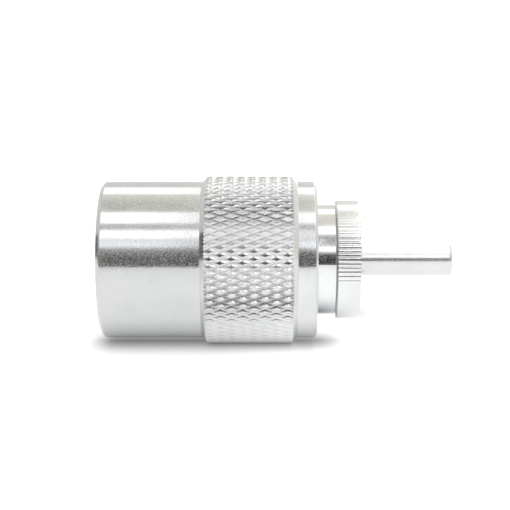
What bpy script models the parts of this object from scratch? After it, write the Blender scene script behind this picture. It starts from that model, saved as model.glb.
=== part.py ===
# A cable-mounted UHF plug with a loose coupling ring, standing on the ring's rear face.
# Lengths are in metres. +Z runs along the plug from its cable end to its pin, the origin is the
# centre of the ring's rear face, and the two locating teeth of the flange are at +X and -X.

import math

import bmesh
import bpy

# Screw thread shared by the ring's mouth and the body's retaining band
THREAD_MINOR_RADIUS = 0.00737
THREAD_DEPTH = 0.00057
THREAD_LENGTH = 0.00815

# Clearances
SEAT_GAP = 0.0003
RING_PLAY = 0.0004
BAND_PLAY = 0.0003
THREAD_PLAY = 0.0002
FLANGE_PLAY = 0.00007

# Coupling ring, from its rear face to its front face
BARREL_LENGTH = 0.0122
KNURL_LENGTH = 0.0116
COLLAR_LENGTH = 0.00235
RING_WALL = 0.00136
REAR_CHAMFER = 0.00042
FRONT_CHAMFER = 0.00025
MOUTH_CHAMFER = 0.0006
LIP_LENGTH = 0.0032
LIP_CATCH = 0.0009
LIP_CHAMFER = 0.0003
RING_TURN = math.radians(1.38)

# Diamond knurl of the ring's grip
KNURL_FOOT = 0.0004
KNURL_DEPTH = 0.00025
KNURL_COLUMN_PITCH = 0.001322
KNURL_LEAD = 0.00111
KNURL_ROUND_COUNT = 72
KNURL_FLAT_SHARE = 0.36

# Plug body, from its rear face to its flange
REAR_RECESS = 0.00035
WAIST_LENGTH = 0.0055
BAND_LENGTH = 0.0044
BAND_CHAMFER = 0.0005
NECK_SHOWN = 0.00225
FLANGE_LENGTH = 0.0029
FLANGE_STEP = 0.00055
FLANGE_CHAMFER = 0.00018
WAIST_STEP = 0.0006
ENTRY_LENGTH = 0.0071
ENTRY_WALL = 0.0013
ENTRY_CHAMFER = 0.0004
WAIST_WALL = 0.0014
NECK_WALL = 0.00105
SOLDER_HOLE_RADIUS = 0.0017
SOLDER_HOLE_SIDES = 24

# Serrations round the flange and the two teeth on its front face
SERRATION_COUNT = 84
SERRATION_DEPTH = 0.0001
SERRATION_CREST_SHARE = 0.38
SMOOTH_HALF_ANGLE = math.radians(34)
TOOTH_HEIGHT = 0.0009
TOOTH_TIP = 0.00045
TOOTH_TAPER = 0.00008
TOOTH_LAND = 0.001
TOOTH_HALF_WIDTH = 0.0031
TOOTH_END_RUN = 0.0016

# Insulator and hollow centre pin
INSULATOR_LENGTH = 0.0095
INSULATOR_RECESS = 0.0005
PIN_RADIUS = 0.00198
PIN_BORE_RADIUS = 0.00135
PIN_REACH = 0.01155
PIN_TIP_ROUND = 0.0005
PIN_COLLAR_LENGTH = 0.0032
PIN_COLLAR_STEP = 0.0007
PIN_SIDES = 36
PIN_ROUND_STEPS = 3

# How far a cutter reaches past the surface that it cuts, and the finest of them do
CUTTER_MARGIN = 0.0005
FINE_CUTTER_MARGIN = 0.00005
SHARP_ANGLE = math.radians(24)
WELD_DISTANCE = 0.000002

# Radii that follow from the thread outwards and inwards
thread_major_radius = THREAD_MINOR_RADIUS + THREAD_DEPTH
ring_bore_radius = thread_major_radius + BAND_PLAY
ring_radius = ring_bore_radius + RING_WALL
knurl_valley_radius = ring_radius + KNURL_FOOT
knurl_crest_radius = knurl_valley_radius + KNURL_DEPTH
band_radius = thread_major_radius
lip_radius = band_radius - LIP_CATCH
body_barrel_radius = lip_radius - RING_PLAY
waist_radius = body_barrel_radius - WAIST_STEP
flange_radius = THREAD_MINOR_RADIUS - FLANGE_PLAY
neck_radius = flange_radius - FLANGE_STEP
entry_radius = body_barrel_radius - ENTRY_WALL
cable_bore_radius = waist_radius - WAIST_WALL
seat_radius = neck_radius - NECK_WALL
insulator_radius = seat_radius - SEAT_GAP
pin_hole_radius = PIN_RADIUS + SEAT_GAP
pin_collar_radius = PIN_RADIUS + PIN_COLLAR_STEP
collar_hole_radius = pin_collar_radius + SEAT_GAP

# Heights that follow from the ring's rear face forwards
knurl_start = BARREL_LENGTH
knurl_end = knurl_start + KNURL_LENGTH
ring_length = knurl_end + COLLAR_LENGTH
thread_start = ring_length - THREAD_LENGTH
band_front = thread_start - THREAD_PLAY
band_rear = band_front - BAND_LENGTH
waist_rear = band_rear - WAIST_LENGTH
entry_end = REAR_RECESS + ENTRY_LENGTH
flange_rear = ring_length + NECK_SHOWN
flange_front = flange_rear + FLANGE_LENGTH
insulator_front = flange_front - INSULATOR_RECESS
insulator_rear = insulator_front - INSULATOR_LENGTH
seat_floor = insulator_rear - SEAT_GAP
collar_front = insulator_rear + PIN_COLLAR_LENGTH
pin_tip = flange_front + PIN_REACH


def clear_scene():
    for obj in list(bpy.data.objects):
        bpy.data.objects.remove(obj)


def make_material(name, color, metallic, roughness):
    material = bpy.data.materials.new(name)
    material.use_nodes = True
    surface = material.node_tree.nodes["Principled BSDF"]
    surface.inputs["Base Color"].default_value = (*color, 1.0)
    surface.inputs["Metallic"].default_value = metallic
    surface.inputs["Roughness"].default_value = roughness
    return material


def make_object(name, bm):
    """Turn a closed bmesh into an object with its faces pointing out."""
    bmesh.ops.recalc_face_normals(bm, faces=bm.faces)
    mesh = bpy.data.meshes.new(name)
    bm.to_mesh(mesh)
    bm.free()
    obj = bpy.data.objects.new(name, mesh)
    bpy.context.scene.collection.objects.link(obj)
    return obj


def make_cutter(name, bm):
    cutter = make_object(name, bm)
    cutter.hide_render = True
    cutter.display_type = "WIRE"
    return cutter


def turned(profile, sides):
    """Spin a closed profile of (radius, height) points about the plug's axis."""
    bm = bmesh.new()
    verts = [bm.verts.new((radius, 0, height)) for radius, height in profile]
    edges = [bm.edges.new((verts[i - 1], verts[i])) for i in range(len(verts))]
    bmesh.ops.spin(
        bm, geom=verts + edges, cent=(0, 0, 0), axis=(0, 0, 1),
        angle=math.tau, steps=sides, use_merge=True,
    )
    return bm


def polar(radius, angle, height):
    return (radius * math.cos(angle), radius * math.sin(angle), height)


def add_boolean(obj, cutter, operation):
    boolean = obj.modifiers.new(cutter.name, "BOOLEAN")
    boolean.operation = operation
    boolean.solver = "EXACT"
    boolean.object = cutter


def finish(obj, material):
    """Apply the cuts, weld what they left closer than a hair, and shade the round surfaces
    smooth with the machined edges sharp."""
    graph = bpy.context.evaluated_depsgraph_get()
    mesh = bpy.data.meshes.new_from_object(obj.evaluated_get(graph))
    bm = bmesh.new()
    bm.from_mesh(mesh)
    bmesh.ops.remove_doubles(bm, verts=bm.verts, dist=WELD_DISTANCE)
    bmesh.ops.dissolve_degenerate(bm, edges=bm.edges, dist=WELD_DISTANCE)
    bm.to_mesh(mesh)
    bm.free()
    obj.modifiers.clear()
    obj.data = mesh
    mesh.materials.clear()
    mesh.materials.append(material)
    mesh.shade_smooth()
    mesh.set_sharp_from_angle(angle=SHARP_ANGLE)


def close_knurled_end(bm, row, end_height):
    """Step the last row of groove crossings out to the full bar, run it on and cap it."""
    loop = [bm.edges.get((row[i - 1], row[i])) for i in range(len(row))]
    for radius, height in ((knurl_crest_radius, row[0].co.z), (knurl_crest_radius, end_height)):
        grown = bmesh.ops.extrude_edge_only(bm, edges=loop)["geom"]
        loop = [item for item in grown if isinstance(item, bmesh.types.BMEdge)]
        loop = [edge for edge in loop if len(edge.link_faces) == 1]
        for vert in {vert for edge in loop for vert in edge.verts}:
            vert.co = polar(radius, math.atan2(vert.co.y, vert.co.x), height)
    bmesh.ops.edgeloop_fill(bm, edges=loop)


def knurled_bar():
    """Round bar with crossing spiral grooves. The grooves cross at the points of a staggered
    lattice, each cell of the lattice is one diamond, and its flat top lies on the bar's skin."""
    bm = bmesh.new()
    first_height = knurl_start + KNURL_LEAD - 2 * KNURL_COLUMN_PITCH
    last = 2 + math.ceil((knurl_end - first_height) / KNURL_COLUMN_PITCH)
    step = math.tau / KNURL_ROUND_COUNT
    rows = []
    for row in range(last + 1):
        height = first_height + row * KNURL_COLUMN_PITCH
        angles = [(i + 0.5 * (row % 2)) * step for i in range(KNURL_ROUND_COUNT)]
        rows.append([bm.verts.new(polar(knurl_valley_radius, angle, height)) for angle in angles])

    def neighbours(row, i):
        """The two crossings on either side of crossing i, in the rows next to it."""
        shift = row % 2
        return i - 1 + shift, (i + shift) % KNURL_ROUND_COUNT

    cells = []
    for row in range(last - 1):
        for i in range(KNURL_ROUND_COUNT):
            left, right = neighbours(row, i)
            side = rows[row + 1]
            cells.append(bm.faces.new((rows[row][i], side[right], rows[row + 2][i], side[left])))
    for i in range(KNURL_ROUND_COUNT):
        left, right = neighbours(1, i)
        bm.faces.new((rows[0][left], rows[0][right], rows[1][i]))
        left, right = neighbours(last - 1, i)
        bm.faces.new((rows[last - 1][i], rows[last][right], rows[last][left]))

    half_width = knurl_valley_radius * step / 2
    inner_radius = KNURL_COLUMN_PITCH * half_width / math.hypot(KNURL_COLUMN_PITCH, half_width)
    bm.normal_update()
    bmesh.ops.inset_individual(
        bm, faces=cells, thickness=inner_radius * (1 - KNURL_FLAT_SHARE), depth=KNURL_DEPTH,
        use_even_offset=True,
    )
    for vert in {vert for cell in cells for vert in cell.verts}:
        vert.co = polar(knurl_crest_radius, math.atan2(vert.co.y, vert.co.x), vert.co.z)

    close_knurled_end(bm, rows[0], -CUTTER_MARGIN)
    close_knurled_end(bm, rows[last], ring_length + CUTTER_MARGIN)
    bmesh.ops.triangulate(bm, faces=bm.faces)
    return bm


def make_coupling_ring(material):
    """One turned piece: plain barrel, knurled grip with chamfered ends, plain front collar.
    Its threaded mouth narrows from a wider bore, and a lip at the rear catches the body's band.
    It is loose on the body and has come to rest a little turned."""
    band_top = knurl_crest_radius + CUTTER_MARGIN
    chamfer_run = band_top - ring_radius
    profile = [
        (ring_radius - REAR_CHAMFER, 0),
        (ring_radius, REAR_CHAMFER),
        (ring_radius, knurl_start),
        (band_top, knurl_start + chamfer_run),
        (band_top, knurl_end - chamfer_run),
        (ring_radius, knurl_end),
        (ring_radius, ring_length - FRONT_CHAMFER),
        (ring_radius - FRONT_CHAMFER, ring_length),
        (THREAD_MINOR_RADIUS + MOUTH_CHAMFER, ring_length),
        (THREAD_MINOR_RADIUS, ring_length - MOUTH_CHAMFER),
        (THREAD_MINOR_RADIUS, thread_start),
        (ring_bore_radius, thread_start),
        (ring_bore_radius, LIP_LENGTH),
        (lip_radius, LIP_LENGTH),
        (lip_radius, LIP_CHAMFER),
        (lip_radius + LIP_CHAMFER, 0),
    ]
    ring = make_object("coupling_ring", turned(profile, KNURL_ROUND_COUNT))
    bar = make_cutter("knurled_bar", knurled_bar())
    ring.rotation_euler.z = RING_TURN
    bar.rotation_euler.z = RING_TURN
    add_boolean(ring, bar, "INTERSECT")
    finish(ring, material)


def tooth_mill(side):
    """Block that mills the flange's front rim away on one side and leaves a sloping tooth end."""
    bm = bmesh.new()
    slope = TOOTH_END_RUN / TOOTH_HEIGHT
    over = TOOTH_HEIGHT + CUTTER_MARGIN
    reach = flange_radius + CUTTER_MARGIN
    outline = [
        (TOOTH_HALF_WIDTH + TOOTH_END_RUN, flange_front),
        (reach, flange_front),
        (reach, flange_front + over),
        (TOOTH_HALF_WIDTH + TOOTH_END_RUN - slope * over, flange_front + over),
    ]
    face = bm.faces.new([bm.verts.new((-reach, side * y, z)) for y, z in outline])
    grown = bmesh.ops.extrude_face_region(bm, geom=[face])["geom"]
    moved = [item for item in grown if isinstance(item, bmesh.types.BMVert)]
    bmesh.ops.translate(bm, verts=moved, vec=(2 * reach, 0, 0))
    return bm


def serration_cutters():
    """The V-shaped grooves along the flange, on the two sides that carry no tooth."""
    bm = bmesh.new()
    step = math.tau / SERRATION_COUNT
    bottom = flange_radius - SERRATION_DEPTH
    top = flange_radius + FINE_CUTTER_MARGIN
    half_groove = flange_radius * step / 2 * (1 - SERRATION_CREST_SHARE)
    half_angle = half_groove * (top - bottom) / SERRATION_DEPTH / top
    low = flange_rear - CUTTER_MARGIN
    for index in range(SERRATION_COUNT):
        angle = index * step
        if abs(math.sin(angle)) < math.sin(SMOOTH_HALF_ANGLE):
            continue
        corners = ((bottom, angle), (top, angle + half_angle), (top, angle - half_angle))
        face = bm.faces.new([bm.verts.new(polar(radius, turn, low)) for radius, turn in corners])
        grown = bmesh.ops.extrude_face_region(bm, geom=[face])["geom"]
        moved = [item for item in grown if isinstance(item, bmesh.types.BMVert)]
        rise = FLANGE_LENGTH + TOOTH_HEIGHT + 2 * CUTTER_MARGIN
        bmesh.ops.translate(bm, verts=moved, vec=(0, 0, rise))
    return bm


def solder_drill(turn):
    """Drill that passes right through the waist, along X or turned from it."""
    bm = bmesh.new()
    bmesh.ops.create_cone(
        bm, cap_ends=True, segments=SOLDER_HOLE_SIDES, radius1=SOLDER_HOLE_RADIUS,
        radius2=SOLDER_HOLE_RADIUS, depth=2 * (waist_radius + CUTTER_MARGIN),
    )
    drill = make_cutter("solder_drill", bm)
    drill.rotation_euler = (math.pi / 2, 0, turn)
    drill.location = (0, 0, (waist_rear + band_rear) / 2)
    return drill


def make_plug_body(material):
    """One turned piece: barrel, drilled waist, retaining band, neck and serrated flange.
    The cable enters at the rear, and the insulator seats in the bore behind the flange."""
    rim_outer = flange_radius - TOOTH_TAPER
    profile = [
        (body_barrel_radius, REAR_RECESS),
        (body_barrel_radius, waist_rear),
        (waist_radius, waist_rear),
        (waist_radius, band_rear),
        (band_radius - BAND_CHAMFER, band_rear),
        (band_radius, band_rear + BAND_CHAMFER),
        (band_radius, band_front - BAND_CHAMFER),
        (band_radius - BAND_CHAMFER, band_front),
        (neck_radius, band_front),
        (neck_radius, flange_rear),
        (flange_radius - FLANGE_CHAMFER, flange_rear),
        (flange_radius, flange_rear + FLANGE_CHAMFER),
        (flange_radius, flange_front),
        (rim_outer, flange_front + TOOTH_HEIGHT),
        (rim_outer - TOOTH_TIP, flange_front + TOOTH_HEIGHT),
        (seat_radius + TOOTH_LAND, flange_front),
        (seat_radius, flange_front),
        (seat_radius, seat_floor),
        (cable_bore_radius, seat_floor),
        (cable_bore_radius, entry_end),
        (entry_radius, entry_end),
        (entry_radius, REAR_RECESS + ENTRY_CHAMFER),
        (entry_radius + ENTRY_CHAMFER, REAR_RECESS),
    ]
    body = make_object("plug_body", turned(profile, SERRATION_COUNT))
    for side in (-1, 1):
        add_boolean(body, make_cutter("tooth_mill", tooth_mill(side)), "DIFFERENCE")
    for turn in (0, math.pi / 2):
        add_boolean(body, solder_drill(turn), "DIFFERENCE")
    add_boolean(body, make_cutter("serration_cutters", serration_cutters()), "DIFFERENCE")
    finish(body, material)


def make_insulator(material):
    """Bush that carries the pin. The pin's collar sits in a wider hole at its rear."""
    profile = [
        (insulator_radius, insulator_rear),
        (insulator_radius, insulator_front),
        (pin_hole_radius, insulator_front),
        (pin_hole_radius, collar_front + SEAT_GAP),
        (collar_hole_radius, collar_front + SEAT_GAP),
        (collar_hole_radius, insulator_rear),
    ]
    finish(make_object("insulator", turned(profile, PIN_SIDES)), material)


def make_centre_pin(material):
    """Hollow contact with a collar at its rear and a rounded open tip."""
    profile = [
        (PIN_BORE_RADIUS, insulator_rear),
        (pin_collar_radius, insulator_rear),
        (pin_collar_radius, collar_front),
        (PIN_RADIUS, collar_front),
    ]
    for step in range(PIN_ROUND_STEPS + 1):
        turn = step / PIN_ROUND_STEPS * math.pi / 2
        radius = PIN_RADIUS - PIN_TIP_ROUND * (1 - math.cos(turn))
        profile.append((radius, pin_tip - PIN_TIP_ROUND * (1 - math.sin(turn))))
    profile.append((PIN_BORE_RADIUS, pin_tip))
    finish(make_object("centre_pin", turned(profile, PIN_SIDES)), material)


clear_scene()
satin_nickel = make_material("satin_nickel", (0.70, 0.69, 0.66), 1.0, 0.28)
bright_nickel = make_material("bright_nickel", (0.74, 0.73, 0.70), 1.0, 0.16)
ivory_plastic = make_material("ivory_plastic", (0.78, 0.72, 0.56), 0.0, 0.45)
make_coupling_ring(satin_nickel)
make_plug_body(satin_nickel)
make_insulator(ivory_plastic)
make_centre_pin(bright_nickel)
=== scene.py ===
import math

import bmesh
import bpy
from mathutils import Matrix, Vector


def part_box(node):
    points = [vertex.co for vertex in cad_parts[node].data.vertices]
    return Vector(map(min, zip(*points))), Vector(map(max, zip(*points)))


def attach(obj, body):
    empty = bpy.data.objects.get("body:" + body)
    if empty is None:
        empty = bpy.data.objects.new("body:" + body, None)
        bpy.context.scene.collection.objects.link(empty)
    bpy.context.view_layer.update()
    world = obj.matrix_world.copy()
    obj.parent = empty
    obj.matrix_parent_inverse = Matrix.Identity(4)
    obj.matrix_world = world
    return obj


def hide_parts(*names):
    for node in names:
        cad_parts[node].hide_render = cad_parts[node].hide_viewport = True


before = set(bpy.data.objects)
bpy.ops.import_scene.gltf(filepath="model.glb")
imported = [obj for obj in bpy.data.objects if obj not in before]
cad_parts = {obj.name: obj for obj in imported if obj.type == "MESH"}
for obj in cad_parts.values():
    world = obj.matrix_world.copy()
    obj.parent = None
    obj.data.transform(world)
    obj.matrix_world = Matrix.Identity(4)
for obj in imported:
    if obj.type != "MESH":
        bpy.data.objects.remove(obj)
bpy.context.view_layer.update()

# Coupling ring
# One piece turned from brass bar: a plain barrel, a diamond-knurled grip that is chamfered at
# both ends, a plain collar and a screw-cut mouth. It is plated with satin nickel.
RING_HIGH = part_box("coupling_ring")[1]
RING_LENGTH = RING_HIGH.z
CREST_RADIUS = RING_HIGH.x
KNURL_DEPTH = 0.00019
KNURL_FOOT = 0.00046
VALLEY_RADIUS = CREST_RADIUS - KNURL_DEPTH
RING_RADIUS = VALLEY_RADIUS - KNURL_FOOT
REAR_CHAMFER = 0.00042
FRONT_CHAMFER = 0.00025
KNURL_START = 0.0122
KNURL_END = 0.0238
COLUMN_PITCH = 0.001322
FIRST_COLUMN = 0.01331
DIAMONDS_ROUND = 72
RING_TURN = math.radians(1.38)
FLAT_SHARE = 0.5
FOOT_RISE = 0.36
RIM_SHARE = 0.16
RIM_DROP = 0.00003
THREAD_MINOR = 0.00737
THREAD_DEPTH = 0.0005
THREAD_PITCH = 0.001058
THREAD_START = 0.018
THREAD_HALF_MOUTH = 0.44
THREAD_HALF_ROOT = 0.04
THREAD_OVERLAP = 0.00015
MOUTH_CHAMFER = 0.0006
BORE_RADIUS = 0.00824
LIP_RADIUS = 0.00704
LIP_LENGTH = 0.0032
LIP_CHAMFER = 0.0003
TOOL_MARGIN = 0.0005
SUPPORT_SHARE = 0.3
LONG_EDGE = 4
WELD_DISTANCE = 0.000001


def softened(corners, steps=3):
    """An outline of (radius, height) points, from corners of (radius, height, cut) that start to
    round at a distance of cut along both of their edges. Where an edge is long beside the cut, a
    point just outside the rounding keeps its face looking straight."""
    outline = []
    for index, (radius, height, cut) in enumerate(corners):
        here = Vector((radius, height))
        if cut == 0:
            outline.append(here)
            continue
        before = Vector(corners[index - 1][:2])
        after = Vector(corners[(index + 1) % len(corners)][:2])
        start = here + (before - here).normalized() * cut
        end = here + (after - here).normalized() * cut
        if (before - here).length > LONG_EDGE * cut:
            outline.append(start.lerp(here, -SUPPORT_SHARE))
        for step in range(steps + 1):
            share = step / steps
            outline.append(start.lerp(here, share).lerp(here.lerp(end, share), share))
        if (after - here).length > LONG_EDGE * cut:
            outline.append(end.lerp(here, -SUPPORT_SHARE))
    return outline


def turned(outline, steps):
    """A shape spun about the plug's axis from its closed outline."""
    bm = bmesh.new()
    verts = [bm.verts.new((point[0], 0, point[1])) for point in outline]
    edges = [bm.edges.new((verts[i - 1], verts[i])) for i in range(len(verts))]
    bmesh.ops.spin(bm, geom=verts + edges, cent=(0, 0, 0), axis=(0, 0, 1),
                   angle=math.tau, steps=steps, use_merge=True)
    bmesh.ops.recalc_face_normals(bm, faces=bm.faces)
    return bm


def as_object(name, bm):
    mesh = bpy.data.meshes.new(name)
    bm.to_mesh(mesh)
    bm.free()
    obj = bpy.data.objects.new(name, mesh)
    bpy.context.scene.collection.objects.link(obj)
    return obj


def keep_shape(obj):
    """Make what the modifiers show the object's own mesh, with close points welded."""
    graph = bpy.context.evaluated_depsgraph_get()
    mesh = bpy.data.meshes.new_from_object(obj.evaluated_get(graph))
    obj.modifiers.clear()
    obj.data = mesh
    bm = bmesh.new()
    bm.from_mesh(mesh)
    bmesh.ops.remove_doubles(bm, verts=bm.verts, dist=WELD_DISTANCE)
    bmesh.ops.dissolve_degenerate(bm, edges=bm.edges, dist=WELD_DISTANCE)
    bm.to_mesh(mesh)
    bm.free()


def machined(obj, tool_bm, operation="DIFFERENCE"):
    """Cut obj with a tool, keep the cut shape and throw the tool away."""
    tool = as_object("tool", tool_bm)
    cut = obj.modifiers.new("cut", "BOOLEAN")
    cut.operation = operation
    cut.solver = "EXACT"
    cut.object = tool
    keep_shape(obj)
    bpy.data.objects.remove(tool)


def shade_smooth(obj, sharp_degrees):
    obj.data.shade_smooth()
    obj.data.set_sharp_from_angle(angle=math.radians(sharp_degrees))


def around(radius, angle, height):
    return Vector((radius * math.cos(angle), radius * math.sin(angle), height))


def screw_tool(mouth, root, pitch, low, high, steps=60):
    """The V-shaped coil that a threading tool takes out between two heights, from radius mouth to
    radius root."""
    bm = bmesh.new()
    half_mouth = pitch * THREAD_HALF_MOUTH
    half_root = pitch * THREAD_HALF_ROOT
    start = low - pitch
    corners = (
        (mouth, start - half_mouth),
        (mouth, start + half_mouth),
        (root, start + half_root),
        (root, start - half_root),
    )
    face = bm.faces.new([bm.verts.new((radius, 0, height)) for radius, height in corners])
    total = int(steps * ((high - low) / pitch + 2))
    bmesh.ops.spin(bm, geom=[face], cent=(0, 0, 0), axis=(0, 0, 1), dvec=(0, 0, pitch / steps),
                   angle=math.tau * total / steps, steps=total)
    bmesh.ops.holes_fill(bm, edges=[edge for edge in bm.edges if edge.is_boundary])
    bmesh.ops.recalc_face_normals(bm, faces=bm.faces)
    bmesh.ops.triangulate(bm, faces=bm.faces)
    return bm


def knurled_bar():
    """The bar after the knurling rolls: staggered diamonds with flat tops and eased rims. The
    flanks between them are hollow, flatter at the foot than higher up."""
    bm = bmesh.new()
    step = math.tau / DIAMONDS_ROUND
    first = FIRST_COLUMN - 2 * COLUMN_PITCH
    last = 2 + math.ceil((KNURL_END - first) / COLUMN_PITCH)
    rows = []
    for row in range(last + 1):
        height = first + row * COLUMN_PITCH
        turns = [(i + 0.5 * (row % 2)) * step for i in range(DIAMONDS_ROUND)]
        rows.append([bm.verts.new(around(VALLEY_RADIUS, turn, height)) for turn in turns])
    cells = []
    for row in range(last - 1):
        side = rows[row + 1]
        shift = row % 2
        for i in range(DIAMONDS_ROUND):
            right = side[(i + shift) % DIAMONDS_ROUND]
            left = side[i - 1 + shift]
            cells.append(bm.faces.new((rows[row][i], right, rows[row + 2][i], left)))
    for i in range(DIAMONDS_ROUND):
        bm.faces.new((rows[0][i], rows[0][(i + 1) % DIAMONDS_ROUND], rows[1][i]))
        shift = (last - 1) % 2
        right = rows[last][(i + shift) % DIAMONDS_ROUND]
        left = rows[last][i - 1 + shift]
        bm.faces.new((rows[last - 1][i], right, left))
    bm.normal_update()
    half_width = VALLEY_RADIUS * step / 2
    inner = COLUMN_PITCH * half_width / math.hypot(COLUMN_PITCH, half_width)
    flank_top = CREST_RADIUS - RIM_DROP
    rolls = (
        ((1 - FLAT_SHARE) / 2, VALLEY_RADIUS + (flank_top - VALLEY_RADIUS) * FOOT_RISE),
        ((1 - FLAT_SHARE) / 2, flank_top),
        (FLAT_SHARE * RIM_SHARE, CREST_RADIUS),
    )
    for share, radius in rolls:
        bmesh.ops.inset_individual(bm, faces=cells, thickness=inner * share, depth=KNURL_DEPTH / 4,
                                   use_even_offset=True)
        for vert in {vert for cell in cells for vert in cell.verts}:
            vert.co = around(radius, math.atan2(vert.co.y, vert.co.x), vert.co.z)
        bm.normal_update()
    for row, end in ((rows[0], -TOOL_MARGIN), (rows[last], RING_LENGTH + TOOL_MARGIN)):
        loop = [bm.edges.get((row[i - 1], row[i])) for i in range(len(row))]
        for height in (row[0].co.z, end):
            grown = bmesh.ops.extrude_edge_only(bm, edges=loop)["geom"]
            loop = [edge for edge in grown if isinstance(edge, bmesh.types.BMEdge) and edge.is_boundary]
            for vert in {vert for edge in loop for vert in edge.verts}:
                vert.co = around(CREST_RADIUS, math.atan2(vert.co.y, vert.co.x), height)
        bmesh.ops.edgeloop_fill(bm, edges=loop)
    bmesh.ops.triangulate(bm, faces=bm.faces)
    bmesh.ops.recalc_face_normals(bm, faces=bm.faces)
    bmesh.ops.rotate(bm, verts=bm.verts, cent=(0, 0, 0), matrix=Matrix.Rotation(RING_TURN, 3, "Z"))
    return bm


over = CREST_RADIUS - RING_RADIUS + TOOL_MARGIN
ring = as_object("ring_knurled", turned(softened([
    (RING_RADIUS - REAR_CHAMFER, 0, 0.00008),
    (RING_RADIUS, REAR_CHAMFER, 0.00012),
    (RING_RADIUS, KNURL_START, 0.00004),
    (RING_RADIUS + over, KNURL_START + over, 0),
    (RING_RADIUS + over, KNURL_END - over, 0),
    (RING_RADIUS, KNURL_END, 0.00004),
    (RING_RADIUS, RING_LENGTH - FRONT_CHAMFER, 0.0001),
    (RING_RADIUS - FRONT_CHAMFER, RING_LENGTH, 0.00006),
    (THREAD_MINOR + MOUTH_CHAMFER, RING_LENGTH, 0.00006),
    (THREAD_MINOR, RING_LENGTH - MOUTH_CHAMFER, 0),
    (THREAD_MINOR, THREAD_START, 0.00005),
    (BORE_RADIUS, THREAD_START, 0),
    (BORE_RADIUS, LIP_LENGTH, 0),
    (LIP_RADIUS, LIP_LENGTH, 0.00008),
    (LIP_RADIUS, LIP_CHAMFER, 0.00005),
    (LIP_RADIUS + LIP_CHAMFER, 0, 0.00005),
]), steps=288))
machined(ring, knurled_bar(), "INTERSECT")
machined(ring, screw_tool(THREAD_MINOR - THREAD_OVERLAP, THREAD_MINOR + THREAD_DEPTH,
                          THREAD_PITCH, THREAD_START, RING_LENGTH))
shade_smooth(ring, sharp_degrees=32)


class Signal:
    """One value in a shader. A sum written with it adds the Math nodes that work it out."""

    def __init__(self, tree, socket):
        self.tree = tree
        self.socket = socket

    def output(self, name):
        """Another output of the node that this value comes from."""
        return Signal(self.tree, self.socket.node.outputs[name])

    def maths(self, operation, *values):
        node = self.tree.nodes.new("ShaderNodeMath")
        node.operation = operation
        for slot, value in zip(node.inputs, values):
            feed(self.tree, slot, value)
        return Signal(self.tree, node.outputs[0])

    def __add__(self, other):
        return self.maths("ADD", self, other)

    def __sub__(self, other):
        return self.maths("SUBTRACT", self, other)

    def __rsub__(self, other):
        return self.maths("SUBTRACT", other, self)

    def __mul__(self, other):
        return self.maths("MULTIPLY", self, other)

    def __pow__(self, power):
        return self.maths("POWER", self, power)

    def __gt__(self, other):
        return self.maths("GREATER_THAN", self, other)

    def __lt__(self, other):
        return self.maths("LESS_THAN", self, other)

    __radd__ = __add__
    __rmul__ = __mul__


def feed(tree, slot, value):
    if isinstance(value, Signal):
        tree.links.new(value.socket, slot)
    else:
        slot.default_value = value


class Shader:
    """A node tree that gives each new node its settings first and its inputs after them."""

    def __init__(self, owner):
        owner.use_nodes = True
        self.tree = owner.node_tree
        self.tree.nodes.clear()

    def node(self, kind, settings=None, stops=None, values=(), **inputs):
        """Add a node. Its sockets take values in their order, and inputs by their names."""
        node = self.tree.nodes.new("ShaderNode" + kind)
        for name, value in (settings or {}).items():
            setattr(node, name, value)
        if stops:
            ramp = node.color_ramp
            while len(ramp.elements) < len(stops):
                ramp.elements.new(1)
            for element, (place, color) in zip(ramp.elements, stops):
                element.position = place
                element.color = (*color, 1)
        for slot, value in zip(node.inputs, values):
            feed(self.tree, slot, value)
        for name, value in inputs.items():
            feed(self.tree, node.inputs[name.replace("_", " ")], value)
        return Signal(self.tree, node.outputs[0]) if node.outputs else None


GRAIN_SIZE = 0.0002
SPECK_SIZE = 0.00003
SPECK_LIMIT = 0.625
SPECK_SPREAD = 0.25
SPECK_EDGE = 0.03
CLOUD_SCALE = 300.0
CLOUD_SHARE = 0.8
CLOUD_SHADE = 0.95
WEAR_SIZE = 0.0012
WEAR_EDGE = (0.47, 0.62)
WORN_SHARE = 0.4
WORN_COLOR = (0.67, 0.59, 0.565)


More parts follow.
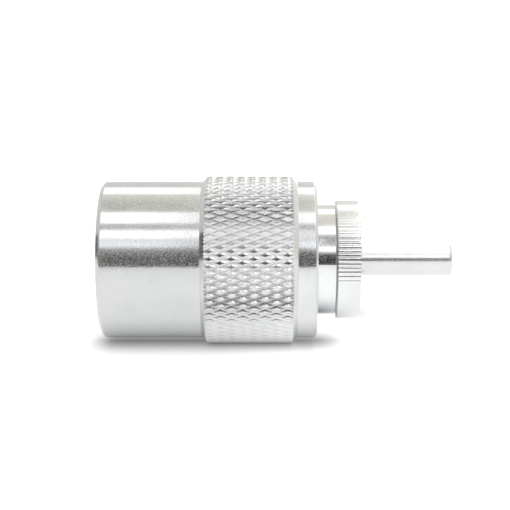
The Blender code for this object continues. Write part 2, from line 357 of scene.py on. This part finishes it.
def plated_nickel(name, color, polish, haze, grain, haze_share, changes=(), worn_from=1.0):
    """Nickel plate over lathe work: a mirror of roughness polish with an orange-peel grain, dulled to
    roughness haze in specks too small to see one by one. haze_share is how much of it they cover,
    and each change (radius, height, more) adds to that share beyond its radius and height. Beyond
    the radius worn_from the plate is rubbed thin in patches, and looks a little pink."""
    material = bpy.data.materials.new(name)
    shader = Shader(material)
    place = shader.node("TexCoord").output("Object")
    parts = shader.node("SeparateXYZ", Vector=place)
    radius = (parts.output("X") ** 2 + parts.output("Y") ** 2) ** 0.5
    share = haze_share
    for from_radius, from_height, more in changes:
        share = share + (radius > from_radius) * (parts.output("Z") > from_height) * more
    limit = SPECK_LIMIT - share * SPECK_SPREAD
    specks = shader.node("TexNoise", Vector=place, Scale=0.5 / SPECK_SIZE, Detail=1.0)
    dull = shader.node("MapRange", Value=specks, From_Min=limit - SPECK_EDGE,
                       From_Max=limit + SPECK_EDGE)
    dimples = shader.node("TexNoise", Vector=place, Scale=1 / GRAIN_SIZE, Detail=2.0)
    bump = shader.node("Bump", Strength=1.0, Distance=grain, Height=dimples)
    clouds = shader.node("TexNoise", Vector=place, Scale=CLOUD_SCALE, Detail=3.0)
    patches = shader.node("TexNoise", Vector=place, Scale=1 / WEAR_SIZE, Detail=1.0)
    worn = shader.node("MapRange", Value=patches, From_Min=WEAR_EDGE[0], From_Max=WEAR_EDGE[1])
    worn = worn * (radius > worn_from)
    tint = shader.node("ValToRGB", Fac=clouds * CLOUD_SHARE + worn * WORN_SHARE, stops=(
        (0.28, [part * CLOUD_SHADE for part in color]),
        (0.52, color),
        (0.92, WORN_COLOR),
    ))
    surface = shader.node("BsdfPrincipled", Base_Color=tint, Metallic=1.0,
                          Roughness=dull * (haze - polish) + polish, Normal=bump)
    shader.node("OutputMaterial", Surface=surface)
    return material


FLATS_FROM = CREST_RADIUS - RIM_DROP / 2
ring.data.materials.clear()
ring.data.materials.append(plated_nickel(
    "satin nickel", (0.665, 0.67, 0.668), polish=0.1, haze=0.45, grain=0.000005, haze_share=0.26,
    changes=((FLATS_FROM, 0, -0.1), (0, KNURL_END, -0.05)), worn_from=FLATS_FROM,
))
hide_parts("coupling_ring")
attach(ring, "coupling")

# Plug body
# One turned and milled piece: threaded cable entry, drilled waist, threaded retaining band, neck,
# and a flange with fine serrations and two teeth. It is nickel plated and brighter than the ring.
BODY_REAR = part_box("plug_body")[0].z
BARREL_RADIUS = 0.00664
WAIST_START = 0.0079
WAIST_RADIUS = 0.00604
BAND_START = 0.0134
BAND_END = 0.0178
BAND_RADIUS = 0.00794
BAND_CHAMFER = 0.0005
NECK_RADIUS = 0.00675
FLANGE_START = 0.0284
FLANGE_END = 0.0313
FLANGE_RADIUS = 0.0073
FLANGE_CHAMFER = 0.0002
FLANGE_EDGE = 0.00006
TOOTH_HEIGHT = 0.0009
TOOTH_RADIUS = 0.00722
TOOTH_INNER = 0.00677
TOOTH_FOOT = 0.0067
TOOTH_HALF_WIDTH = 0.0031
TOOTH_END_RUN = 0.0016
SEAT_RADIUS = 0.0057
SEAT_FLOOR = 0.021
CABLE_RADIUS = 0.00464
ENTRY_RADIUS = 0.00534
ENTRY_END = 0.00745
ENTRY_CHAMFER = 0.0004
SOLDER_RADIUS = 0.0017
SERRATIONS = 84
SERRATION_DEPTH = 0.00004
SERRATED_BELOW = 0.00012
CREST_SHARE = 0.42
SERRATION_STEPS = 8
SMOOTH_HALF_ANGLE = math.radians(34)


def serrate(bm):
    """Press rounded grooves into the flange's rim, on the two sides that carry no tooth. The
    points between two crests crowd into the groove, so that the crests stay flat."""
    outermost = 0.5 - 1 / SERRATION_STEPS
    crest_middle = 0.5 - 0.5 / SERRATION_STEPS
    for vert in bm.verts:
        radius = math.hypot(vert.co.x, vert.co.y)
        turn = math.atan2(vert.co.y, vert.co.x)
        if radius < FLANGE_RADIUS - SERRATED_BELOW or vert.co.z < FLANGE_START:
            continue
        if abs(math.sin(turn)) < math.sin(SMOOTH_HALF_ANGLE):
            continue
        index = round(turn * SERRATIONS / math.tau)
        across = turn * SERRATIONS / math.tau - index
        if abs(across) < crest_middle:
            across *= (1 - CREST_SHARE) / 2 / outermost
        share = min(1, 2 * abs(across) / (1 - CREST_SHARE))
        depth = SERRATION_DEPTH * (0.5 + 0.5 * math.cos(math.pi * share))
        vert.co = around(radius - depth, (index + across) * math.tau / SERRATIONS, vert.co.z)


def tooth_mill(side):
    """The cutter that mills the rim away beside the teeth and slopes their ends."""
    bm = bmesh.new()
    tall = TOOTH_HEIGHT + TOOL_MARGIN
    wide = FLANGE_RADIUS + TOOL_MARGIN
    foot = TOOTH_HALF_WIDTH + TOOTH_END_RUN
    lean = foot - TOOTH_END_RUN / TOOTH_HEIGHT * tall
    top = FLANGE_END + tall
    outline = ((foot, FLANGE_END), (wide, FLANGE_END), (wide, top), (lean, top))
    face = bm.faces.new([bm.verts.new((-wide, side * y, z)) for y, z in outline])
    grown = bmesh.ops.extrude_face_region(bm, geom=[face])["geom"]
    moved = [part for part in grown if isinstance(part, bmesh.types.BMVert)]
    bmesh.ops.translate(bm, verts=moved, vec=(2 * wide, 0, 0))
    bmesh.ops.recalc_face_normals(bm, faces=bm.faces)
    return bm


def solder_drill(turn):
    """The drill that goes right through the middle of the waist, for two of its solder holes."""
    bm = bmesh.new()
    middle = Matrix.Translation((0, 0, (WAIST_START + BAND_START) / 2))
    lying = Matrix.Rotation(turn, 4, "Z") @ Matrix.Rotation(math.pi / 2, 4, "X")
    bmesh.ops.create_cone(bm, cap_ends=True, segments=48, radius1=SOLDER_RADIUS,
                          radius2=SOLDER_RADIUS, depth=2 * BARREL_RADIUS, matrix=middle @ lying)
    return bm


body_bm = turned(softened([
    (BARREL_RADIUS, BODY_REAR, 0.0001),
    (BARREL_RADIUS, WAIST_START, 0.0001),
    (WAIST_RADIUS, WAIST_START, 0.00005),
    (WAIST_RADIUS, BAND_START, 0.00005),
    (BAND_RADIUS - BAND_CHAMFER, BAND_START, 0.00005),
    (BAND_RADIUS, BAND_START + BAND_CHAMFER, 0),
    (BAND_RADIUS, BAND_END - BAND_CHAMFER, 0),
    (BAND_RADIUS - BAND_CHAMFER, BAND_END, 0.00005),
    (NECK_RADIUS, BAND_END, 0.0001),
    (NECK_RADIUS, FLANGE_START, 0.00008),
    (FLANGE_RADIUS - FLANGE_CHAMFER, FLANGE_START, 0.00005),
    (FLANGE_RADIUS, FLANGE_START + FLANGE_CHAMFER, 0.00005),
    (FLANGE_RADIUS, FLANGE_END - FLANGE_EDGE, 0),
    (FLANGE_RADIUS, FLANGE_END, 0),
    (TOOTH_RADIUS, FLANGE_END + TOOTH_HEIGHT, 0.00012),
    (TOOTH_INNER, FLANGE_END + TOOTH_HEIGHT, 0.00008),
    (TOOTH_FOOT, FLANGE_END, 0.0001),
    (SEAT_RADIUS, FLANGE_END, 0.00006),
    (SEAT_RADIUS, SEAT_FLOOR, 0),
    (CABLE_RADIUS, SEAT_FLOOR, 0.00005),
    (CABLE_RADIUS, ENTRY_END, 0.00005),
    (ENTRY_RADIUS, ENTRY_END, 0),
    (ENTRY_RADIUS, BODY_REAR + ENTRY_CHAMFER, 0),
    (ENTRY_RADIUS + ENTRY_CHAMFER, BODY_REAR, 0.00005),
]), steps=SERRATIONS * SERRATION_STEPS)
serrate(body_bm)
body = as_object("body_turned", body_bm)
for side in (-1, 1):
    machined(body, tooth_mill(side))
for turn in (0, math.pi / 2):
    machined(body, solder_drill(turn))
machined(body, screw_tool(BAND_RADIUS + THREAD_OVERLAP, BAND_RADIUS - THREAD_DEPTH,
                          THREAD_PITCH, BAND_START, BAND_END))
machined(body, screw_tool(ENTRY_RADIUS - THREAD_OVERLAP, ENTRY_RADIUS + THREAD_DEPTH,
                          THREAD_PITCH, BODY_REAR, ENTRY_END - THREAD_PITCH))
shade_smooth(body, sharp_degrees=40)
body.data.materials.clear()
body.data.materials.append(plated_nickel(
    "body nickel", (0.75, 0.755, 0.755), polish=0.05, haze=0.45, grain=0.0000022, haze_share=0.04,
    changes=((0, FLANGE_START + FLANGE_CHAMFER, 0.1),),
))
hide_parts("plug_body")
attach(body, "plug")

# Centre pin
# A hollow contact, turned with a collar and a rounded open tip, plated bright, and pressed into
# the insulator from behind.
PIN_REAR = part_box("centre_pin")[0].z
PIN_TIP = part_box("centre_pin")[1].z
PIN_RADIUS = 0.00198
PIN_BORE = 0.00135
PIN_ROUND = 0.00042
COLLAR_RADIUS = 0.00268
COLLAR_END = 0.0245
pin = as_object("pin_turned", turned(softened([
    (PIN_BORE, PIN_REAR, 0.0001),
    (COLLAR_RADIUS, PIN_REAR, 0.0001),
    (COLLAR_RADIUS, COLLAR_END, 0.0001),
    (PIN_RADIUS, COLLAR_END, 0),
    (PIN_RADIUS, PIN_TIP, PIN_ROUND),
    (PIN_BORE, PIN_TIP, 0.0001),
], steps=6), steps=128))
shade_smooth(pin, sharp_degrees=40)
pin.data.materials.clear()
pin.data.materials.append(plated_nickel(
    "pin nickel", (0.77, 0.77, 0.775), polish=0.2, haze=0.45, grain=0.000003, haze_share=0.3,
))
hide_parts("centre_pin")
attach(pin, "plug")

# Insulator
# A moulded bush of ivory plastic that fills the body's seat. The pin's collar is held in the wider
# hole at its rear.
INSULATOR_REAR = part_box("insulator")[0].z
INSULATOR_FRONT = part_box("insulator")[1].z
INSULATOR_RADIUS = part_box("insulator")[1].x
HOLE_CLEARANCE = 0.0001
MOTTLE_SCALE = 900.0
IVORY_DARK = (0.7, 0.63, 0.46)
IVORY_LIGHT = (0.79, 0.73, 0.57)
insulator = as_object("insulator_bush", turned(softened([
    (INSULATOR_RADIUS, INSULATOR_REAR, 0.0001),
    (INSULATOR_RADIUS, INSULATOR_FRONT, 0.00015),
    (PIN_RADIUS + HOLE_CLEARANCE, INSULATOR_FRONT, 0.0001),
    (PIN_RADIUS + HOLE_CLEARANCE, COLLAR_END + 2 * HOLE_CLEARANCE, 0),
    (COLLAR_RADIUS + HOLE_CLEARANCE, COLLAR_END + 2 * HOLE_CLEARANCE, 0),
    (COLLAR_RADIUS + HOLE_CLEARANCE, INSULATOR_REAR, 0.0001),
]), steps=128))
shade_smooth(insulator, sharp_degrees=40)
ivory = bpy.data.materials.new("ivory plastic")
shader = Shader(ivory)
place = shader.node("TexCoord").output("Object")
mottle = shader.node("TexNoise", Vector=place, Scale=MOTTLE_SCALE, Detail=4.0)
tint = shader.node("ValToRGB", Fac=mottle, stops=((0.3, IVORY_DARK), (0.7, IVORY_LIGHT)))
bump = shader.node("Bump", Strength=1.0, Distance=0.000004, Height=mottle)
surface = shader.node("BsdfPrincipled", Base_Color=tint, Roughness=mottle * 0.1 + 0.4, Normal=bump)
shader.node("OutputMaterial", Surface=surface)
insulator.data.materials.append(ivory)
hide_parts("insulator")
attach(insulator, "plug")

# Table
# The plug lies on a pale, softly glowing table that runs far back like a photographer's sweep, with
# a soft shade painted under it. In the plug's own frame the table stands upright beside the knurl.
# It can be seen through from behind.
TABLE_REACH = 40.0
TABLE_GAP = 0.00002
TABLE_GLOW = 0.78
NEAR_RING_GLOW = 0.18
NEAR_RING = (0.012, 0.025)
NEAR_PIN_GLOW = -0.2
NEAR_PIN = (0.028, 0.036)
SHADE_SIDE = (-0.0016, 0.0086)
SHADE_REAR = (-0.003, 0.001)
SHADE_FRONT = (0.026, 0.032)
KNURL_SHADE = 0.0005
KNURL_BEVEL = 0.0008
table_bm = bmesh.new()
under = Matrix.Translation((CREST_RADIUS + TABLE_GAP, 0, 0)) @ Matrix.Rotation(-math.pi / 2, 4, "Y")
bmesh.ops.create_grid(table_bm, x_segments=1, y_segments=1, size=TABLE_REACH, matrix=under)
table = as_object("table", table_bm)
table_paint = bpy.data.materials.new("table paint")
shader = Shader(table_paint)
parts = shader.node("SeparateXYZ", Vector=shader.node("TexCoord").output("Object"))
height = parts.output("Z")
aside = (parts.output("Y") ** 2) ** 0.5


def rising(value, low, high):
    """From 0 to 1 with soft ends, as value goes from low to high."""
    return shader.node("MapRange", {"interpolation_type": "SMOOTHSTEP"}, Value=value, From_Min=low,
                       From_Max=high)


# Painted shade and painted glow: the table's glow fades out under the plug, with a wider dark core
# under the knurl, and is painted stronger beside the grip and weaker beside the pin.
on_knurl = (height > KNURL_START + KNURL_BEVEL) * (height < KNURL_END - KNURL_BEVEL)
under_plug = 1 - rising(aside, on_knurl * KNURL_SHADE + SHADE_SIDE[0], SHADE_SIDE[1])
in_shade = under_plug * rising(height, *SHADE_REAR) * (1 - rising(height, *SHADE_FRONT))
brighter = rising(height, *NEAR_RING) * NEAR_RING_GLOW + rising(height, *NEAR_PIN) * NEAR_PIN_GLOW
paint = shader.node("BsdfPrincipled", Base_Color=(0.365, 0.375, 0.395, 1), Roughness=0.4,
                    Emission_Color=(TABLE_GLOW + brighter) * (1 - in_shade), Emission_Strength=1.0)
clear = shader.node("BsdfTransparent")
behind = shader.node("NewGeometry").output("Backfacing")
shader.node("OutputMaterial", Surface=shader.node("MixShader", values=(behind, paint, clear)))
table.data.materials.append(table_paint)

# Light
# Long soft boxes hang over the table in line with the plug, so its round surfaces show bands. A
# cloth dims them over the grip, and the room past their ends is dim, most at the plug's cable end.

# Each row is an angle above the table, in degrees from the camera's side over the top, and the
# light there: what the barrel and collar see, then the grip, the neck with the pin, and the room.
BANDS = (
    (0, 0.06, 0.03, 0.03, 0.45), (8, 0.06, 0.03, 0.03, 0.45), (12, 0.08, 0.05, 0.04, 0.45),
    (16, 0.14, 0.07, 0.06, 0.45), (20, 0.26, 0.1, 0.11, 0.45), (23, 0.38, 0.13, 0.35, 0.47),
    (26, 0.58, 0.17, 0.9, 0.5), (28, 0.97, 0.2, 1.6, 0.52), (30, 1.6, 0.27, 1.8, 0.55),
    (35, 1.6, 0.42, 1.8, 0.6), (37.5, 1.3, 0.52, 1.3, 0.62), (40.5, 1.2, 0.65, 0.7, 0.65),
    (42.5, 2.1, 0.8, 0.45, 0.68), (47, 2.1, 1.05, 0.3, 0.72), (53.5, 2.0, 1.0, 0.3, 0.8),
    (56, 0.6, 0.78, 0.38, 0.85), (63.5, 0.6, 0.57, 0.8, 0.92), (66, 1.95, 0.52, 1.5, 0.95),
    (83, 2.0, 0.55, 1.5, 1.02), (85.5, 0.66, 0.62, 1.1, 1.02), (95, 0.64, 0.74, 0.85, 1.0),
    (103, 0.7, 0.86, 0.85, 0.95), (112, 0.86, 0.98, 0.9, 0.9), (121, 0.97, 1.1, 1.05, 0.9),
    (124, 1.8, 1.3, 1.7, 0.92), (142.5, 1.8, 1.2, 1.7, 1.0), (145, 0.76, 0.88, 0.84, 1.0),
    (180, 0.76, 0.88, 0.84, 1.0),
)
# Each row is such an angle, and the light's colour there.
TINTS = (
    (0, 1.0, 0.88, 0.8), (20, 1.0, 0.93, 0.88), (29, 0.94, 0.96, 1.0), (36, 0.94, 0.96, 1.0),
    (42, 1.0, 1.0, 1.0), (85, 1.0, 1.0, 1.0), (88, 1.0, 0.99, 0.91), (121, 1.0, 0.97, 0.89),
    (124, 1.0, 1.0, 1.0), (143, 1.0, 1.0, 1.0), (146, 0.99, 1.0, 0.94), (180, 0.99, 1.0, 0.94),
)
BRIGHTEST = 2.1
GRIP_MIDDLE = 0.018
GRIP_EDGE = (0.026, 0.032)
NECK_EDGE = (0.034, 0.039)
PIN_FROM = 0.072
PIN_LOWEST = 0.13
PIN_LIGHT = 0.6
BOX_END = (0.16, 0.22)
CABLE_SIDE = 0.88
PIN_SIDE = 1.12
DARK_FROM = 0.94
DARK_SHARE = 0.07
BACKDROP = (0.97, 0.97, 0.97, 1)
world = bpy.data.worlds.new("studio")
bpy.context.scene.world = world
shader = Shader(world)
ray = shader.node("SeparateXYZ", Vector=shader.node("TexCoord").output("Generated"))
above = ray.output("X") * -1
nearer = ray.output("Y") * -1
along = ray.output("Z")
turn = ray.maths("ARCTAN2", above, nearer) * (1 / math.pi)
ring_light, grip_light, neck_light, room_light = [
    shader.node("ValToRGB", Fac=turn, stops=[
        (row[0] / 180, [row[column] / BRIGHTEST] * 3) for row in BANDS
    ])
    for column in (1, 2, 3, 4)
]
tint = shader.node("ValToRGB", Fac=turn, stops=[(angle / 180, color) for angle, *color in TINTS])


def share_past(value, edge):
    """From 0 to 1 in an even slope, as value crosses the two ends of edge."""
    return shader.node("MapRange", Value=value, From_Min=edge[0], From_Max=edge[1])


off_grip = share_past(((along + GRIP_MIDDLE) ** 2) ** 0.5, GRIP_EDGE)
to_neck = share_past(along, NECK_EDGE)
past_boxes = share_past((along ** 2) ** 0.5, BOX_END)
overhead = grip_light * (1 - off_grip) + ring_light * off_grip
overhead = overhead * (1 - to_neck) + neck_light * to_neck
overhead = overhead + (along > PIN_FROM) * (turn > PIN_LOWEST) * PIN_LIGHT
room_light = room_light * ((along > 0) * (PIN_SIDE - CABLE_SIDE) + CABLE_SIDE)
level = overhead * (1 - past_boxes) + room_light * past_boxes
lit = (along > -DARK_FROM) * (1 - DARK_SHARE) + DARK_SHARE
lights = shader.node("Background", Color=tint, Strength=level * lit * BRIGHTEST)
backdrop = shader.node("Background", Color=BACKDROP, Strength=1.0)
seen = shader.node("LightPath").output("Is Camera Ray")
shader.node("OutputWorld", Surface=shader.node("MixShader", values=(seen, lights, backdrop)))

# Camera
# It looks square to the plug from a little above the table, with the pin to the right.
CAMERA_DISTANCE = 0.168
CAMERA_RISE = math.radians(11)
METRES_PER_PIXEL = 0.0001235
PICTURE = 510
REAR_PIXEL = 104.0
EYE_PIXEL = 265.0
AXIS_PIXEL = 259.6
SENSOR = 36.0
bpy.context.scene.view_settings.view_transform = "Standard"
lens = bpy.data.cameras.new("camera")
camera = bpy.data.objects.new("camera", lens)
bpy.context.scene.collection.objects.link(camera)
bpy.context.scene.camera = camera
lens.sensor_width = SENSOR
lens.lens = SENSOR * CAMERA_DISTANCE / (PICTURE * METRES_PER_PIXEL)
lens.shift_x = (PICTURE / 2 - EYE_PIXEL) / PICTURE
lens.shift_y = (AXIS_PIXEL - PICTURE / 2) / PICTURE
lens.clip_start = 0.01
lens.clip_end = 200
look = Vector((math.sin(CAMERA_RISE), math.cos(CAMERA_RISE), 0))
upward = Vector((-math.cos(CAMERA_RISE), math.sin(CAMERA_RISE), 0))
target = Vector((0, 0, (EYE_PIXEL - REAR_PIXEL) * METRES_PER_PIXEL))
facing = Matrix((look.cross(upward), upward, -look)).transposed()
camera.matrix_world = Matrix.Translation(target - look * CAMERA_DISTANCE) @ facing.to_4x4()
